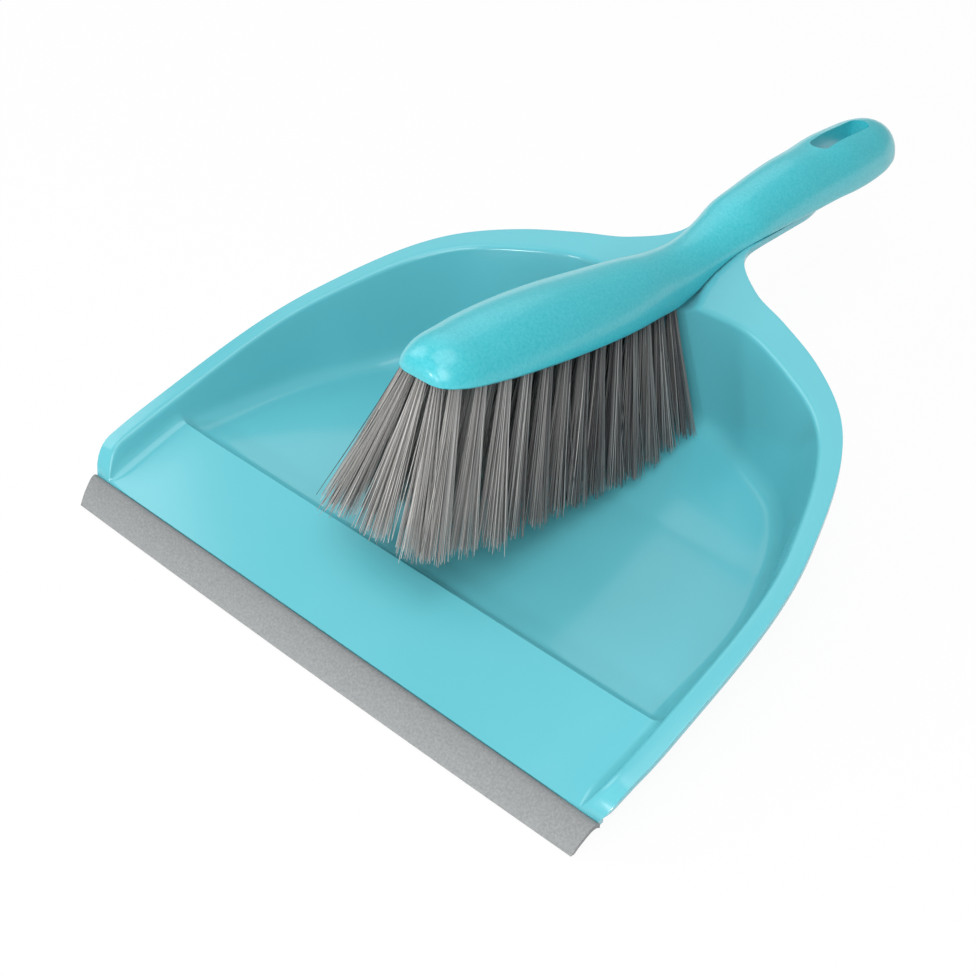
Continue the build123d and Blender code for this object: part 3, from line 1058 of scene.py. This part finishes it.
def plastic_finish(
    name, dark, light, tone_mark, rough, shine, coat, grain_scale, grain_depth, grain_strength
):
    material, nodes, links, shader = new_material(name)
    shader.inputs["Specular IOR Level"].default_value = shine
    shader.inputs["Coat Weight"].default_value = coat
    shader.inputs["Coat Roughness"].default_value = 0.08
    node = add_marks(nodes, drift=plastic_drift, grain=grain_scale)
    tone = ramp(nodes, links, node.outputs[tone_mark], dark, light)
    links.new(tone.outputs["Color"], shader.inputs["Base Color"])
    gloss = level(nodes, links, node.outputs["Grain"], *rough)
    links.new(gloss.outputs["Result"], shader.inputs["Roughness"])
    bump(nodes, links, shader, node.outputs["Grain"], grain_strength, grain_depth)
    return material


pan_plastic = plastic_finish(
    "pan_plastic",
    dark=(0.130, 0.545, 0.625), light=(0.143, 0.568, 0.648), tone_mark="Drift",
    rough=(0.13, 0.18), shine=0.6, coat=0.0,
    grain_scale=60.0, grain_depth=0.02, grain_strength=0.05,
)
brush_plastic = plastic_finish(
    "brush_plastic",
    dark=(0.036, 0.530, 0.612), light=(0.082, 0.605, 0.682), tone_mark="Grain",
    rough=(0.28, 0.38), shine=0.7, coat=0.25,
    grain_scale=1100.0, grain_depth=0.07, grain_strength=0.5,
)
print("plastics", pan_plastic.name, brush_plastic.name)

# %% [markdown]
# The rubber is matt and speckled, and a little darker towards its joint with the pan.
# A filament takes its tone from its own shade, and painted shade darkens it towards its root, deep between
# its neighbours.

# %% Rubber and filaments
rubber_dark, rubber_light = (0.29, 0.305, 0.31), (0.39, 0.405, 0.41)
lip_front_shade, lip_joint_shade = 0.92, 0.70
filament_dark, filament_light = (0.046, 0.042, 0.048), (0.74, 0.73, 0.70)
# Painted shade at the filament roots, where they stand deep between their neighbours under the block.
root_painted_shade = 0.45
root_painted_shade_reach = 0.4
wire_dark, wire_light = (0.50, 0.50, 0.50), (0.66, 0.66, 0.66)


def shaded(nodes, links, colour, share):
    """A colour made darker by a share between 0 and 1."""
    node = nodes.new("ShaderNodeMix")
    node.data_type = "RGBA"
    node.blend_type = "MULTIPLY"
    node.inputs["Factor"].default_value = 1.0
    links.new(colour, node.inputs["A"])
    links.new(share, node.inputs["B"])
    return node.outputs["Result"]


def rubber_finish(name):
    material, nodes, links, shader = new_material(name)
    node = add_marks(nodes, drift=60.0, grain=1400.0)
    tone = ramp(nodes, links, node.outputs["Grain"], rubber_dark, rubber_light)
    place = nodes.new("ShaderNodeTexCoord")
    axes = nodes.new("ShaderNodeSeparateXYZ")
    links.new(place.outputs["Object"], axes.inputs["Vector"])
    depth = level(nodes, links, axes.outputs["Y"], lip_front_shade, lip_joint_shade)
    depth.inputs["From Min"].default_value = lip_front_y * MM
    depth.inputs["From Max"].default_value = joint_y * MM
    colour = shaded(nodes, links, tone.outputs["Color"], depth.outputs["Result"])
    links.new(colour, shader.inputs["Base Color"])
    shader.inputs["Roughness"].default_value = 0.7
    bump(nodes, links, shader, node.outputs["Grain"], strength=0.3, depth=0.08)
    return material


def filament_finish(name):
    material, nodes, links, shader = new_material(name)
    shade = nodes.new("ShaderNodeAttribute")
    shade.attribute_name = "shade_and_painted_light"
    tone = ramp(nodes, links, shade.outputs["Fac"], filament_dark, filament_light, low=0.0, high=1.0)
    # Painted shade: the tone darkens towards the root of each filament.
    along = nodes.new("ShaderNodeAttribute")
    along.attribute_name = "along"
    depth = level(nodes, links, along.outputs["Fac"], root_painted_shade, 1.0)
    depth.inputs["From Max"].default_value = root_painted_shade_reach
    colour = shaded(nodes, links, tone.outputs["Color"], depth.outputs["Result"])
    links.new(colour, shader.inputs["Base Color"])
    shader.inputs["Roughness"].default_value = 0.38
    return material


def wire_finish(name):
    material, nodes, links, shader = new_material(name)
    node = add_marks(nodes, drift=80.0, grain=2000.0)
    tone = ramp(nodes, links, node.outputs["Grain"], wire_dark, wire_light)
    links.new(tone.outputs["Color"], shader.inputs["Base Color"])
    shader.inputs["Metallic"].default_value = 1.0
    shader.inputs["Roughness"].default_value = 0.35
    return material


def paint(piece, material):
    piece.data.materials.clear()
    piece.data.materials.append(material)


paint(pan, pan_plastic)
paint(brush, brush_plastic)
paint(lip, rubber_finish("lip_rubber"))
bristle_grey = filament_finish("bristle_grey")
for tuft in tufts:
    paint(tuft, bristle_grey)
paint(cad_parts["tuft_anchors"], wire_finish("anchor_wire"))
print("painted", 4 + len(tufts), "pieces")

# %% [markdown]
# The stage is a plain white floor with an even white surround. The camera sees both as white, and the
# floor still takes a faint shadow: a mix of a glowing and a plain surface, for camera and mirror rays.

# %% Floor
floor_size = 6.0
floor_drop = 0.5
floor_glow = 0.94
bpy.ops.mesh.primitive_plane_add(size=floor_size, location=(0, 0, -floor_drop * MM))
floor = bpy.context.object
floor.name = "floor"
material, nodes, links, shader = new_material("floor_white")
shader.inputs["Base Color"].default_value = (0.9, 0.9, 0.9, 1)
shader.inputs["Roughness"].default_value = 0.9
glow = nodes.new("ShaderNodeEmission")
path = nodes.new("ShaderNodeLightPath")
seen = nodes.new("ShaderNodeMath")
seen.operation = "MAXIMUM"
glow_share = nodes.new("ShaderNodeMath")
glow_share.operation = "MULTIPLY"
glow_share.inputs[1].default_value = floor_glow
mix = nodes.new("ShaderNodeMixShader")
links.new(path.outputs["Is Camera Ray"], seen.inputs[0])
links.new(path.outputs["Is Glossy Ray"], seen.inputs[1])
links.new(seen.outputs[0], glow_share.inputs[0])
links.new(glow_share.outputs[0], mix.inputs["Fac"])
links.new(shader.outputs[0], mix.inputs[1])
links.new(glow.outputs[0], mix.inputs[2])
links.new(mix.outputs[0], nodes["Material Output"].inputs["Surface"])
paint(floor, material)
print("floor", floor_size, "m wide")

# %% [markdown]
# Four broad soft boxes stand above, behind, in front and on the left, and give the even light of a
# studio. Two small lamps in front make the bright spots on the nose of the brush.

# %% Surround and lights
surround_strength = 0.32
pan_middle = (0, 0, 0.03)
brush_middle = (0, 0, 0.05)

world = bpy.data.worlds.new("surround")
bpy.context.scene.world = world
world.use_nodes = True
sky = world.node_tree
background = sky.nodes["Background"]
background.inputs["Color"].default_value = (1, 1, 1, 1)
sky_path = sky.nodes.new("ShaderNodeLightPath")
sky_level = level(sky.nodes, sky.links, sky_path.outputs["Is Camera Ray"], surround_strength, 1.0)
sky.links.new(sky_level.outputs["Result"], background.inputs["Strength"])


def soft_light(name, place, aim, size, power):
    clear_selection()
    turn = (Vector(aim) - Vector(place)).to_track_quat("-Z", "Y").to_euler()
    bpy.ops.object.light_add(type="AREA", location=place, rotation=turn)
    lamp = bpy.context.object
    lamp.name = name
    lamp.data.shape = "DISK"
    lamp.data.size = size
    lamp.data.energy = power


soft_light("top_box", (0.05, -0.05, 1.25), pan_middle, size=1.0, power=4.4)
soft_light("back_box", (-0.62, 0.68, 0.85), pan_middle, size=1.0, power=1.5)
soft_light("front_box", (0.50, -0.70, 0.80), pan_middle, size=0.8, power=5.4)
soft_light("left_box", (-1.05, -0.25, 0.80), pan_middle, size=0.9, power=4.0)
soft_light("left_lamp", (-0.22, -1.2, 0.38), brush_middle, size=0.09, power=1.8)
soft_light("right_lamp", (0.20, -1.25, 0.42), brush_middle, size=0.09, power=1.8)
bpy.context.scene.view_settings.view_transform = "Standard"
print("stage set")
